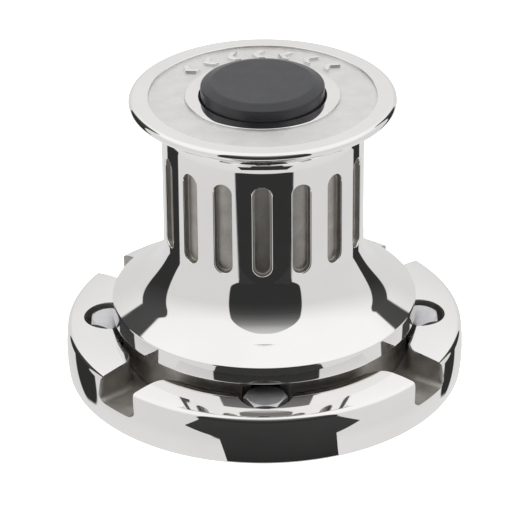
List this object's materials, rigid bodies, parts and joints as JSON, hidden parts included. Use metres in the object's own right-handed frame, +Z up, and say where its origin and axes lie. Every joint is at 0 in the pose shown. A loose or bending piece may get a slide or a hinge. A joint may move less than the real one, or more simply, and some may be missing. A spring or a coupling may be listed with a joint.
{
  "type": "sailboat winch",
  "caption": "Vertical rope capstan: polished flared drum with slotted barrel and push button, turning on a bolted round deck plate with drains.",
  "frame": {"origin": "centre of the underside, on the deck the plate is bolted to", "axes": "+Z up along the drum's axis of rotation; -Y is the front, where one housing bolt faces the viewer; +X is to the viewer's right"},
  "size_m": [0.18, 0.18, 0.1417],
  "materials": {
    "polished_steel": "mirror-polished cast stainless steel",
    "cast_steel": "shot-blasted cast stainless steel",
    "bolt_steel": "bright stainless fastener",
    "bearing_steel": "ground bearing steel",
    "bearing_bronze": "machined bronze",
    "spring_steel": "bright spring steel",
    "seal_rubber": "moulded nitrile rubber",
    "guide_plastic": "machined acetal",
    "shaft_steel": "turned stainless steel",
    "button_plastic": "black moulded plastic, satin"
  },
  "bodies": {
    "base": {"deck_plate": "polished_steel", "bearing_housing": "cast_steel", "housing_bolts": "bolt_steel", "bolt_washers": "bolt_steel", "bearing_outer_race": "bearing_steel", "housing_clip": "spring_steel", "dust_seal": "seal_rubber", "upper_bush": "bearing_bronze", "shaft_seal": "seal_rubber", "deck_seal": "seal_rubber"},
    "drum": {"drum": "polished_steel", "main_shaft": "shaft_steel", "bearing_inner_race": "bearing_steel", "shaft_clip": "spring_steel", "thrust_washer": "guide_plastic", "clamp_washer": "bolt_steel", "drum_nut": "bolt_steel", "drum_key": "shaft_steel", "button_guide": "guide_plastic", "guide_ring": "spring_steel", "button_wiper": "seal_rubber", "button_spring": "spring_steel"},
    "ball_set": {"bearing_balls": "bearing_steel", "bearing_cage": "bearing_bronze"},
    "button": {"button_cap": "button_plastic", "push_rod": "shaft_steel", "rod_clip": "spring_steel"}
  },
  "joints": [
    {"name": "drum_spin", "type": "hinge", "parent": "base", "child": "drum", "pos_m": [0, 0, 0], "axis": [0, 0, 1], "continuous": true},
    {"name": "ball_orbit", "type": "hinge", "parent": "base", "child": "ball_set", "pos_m": [0, 0, 0.021], "axis": [0, 0, 1], "continuous": true},
    {"name": "button_press", "type": "slide", "parent": "drum", "child": "button", "axis": [0, 0, -1], "range_m": [0, 0.005], "stiffness_N_per_m": 1500, "springref_m": -0.003, "deforming": ["button_spring"]}
  ],
  "couplings": [
    {"joint": "ball_orbit", "follows": "drum_spin", "ratio": 0.4}
  ]
}
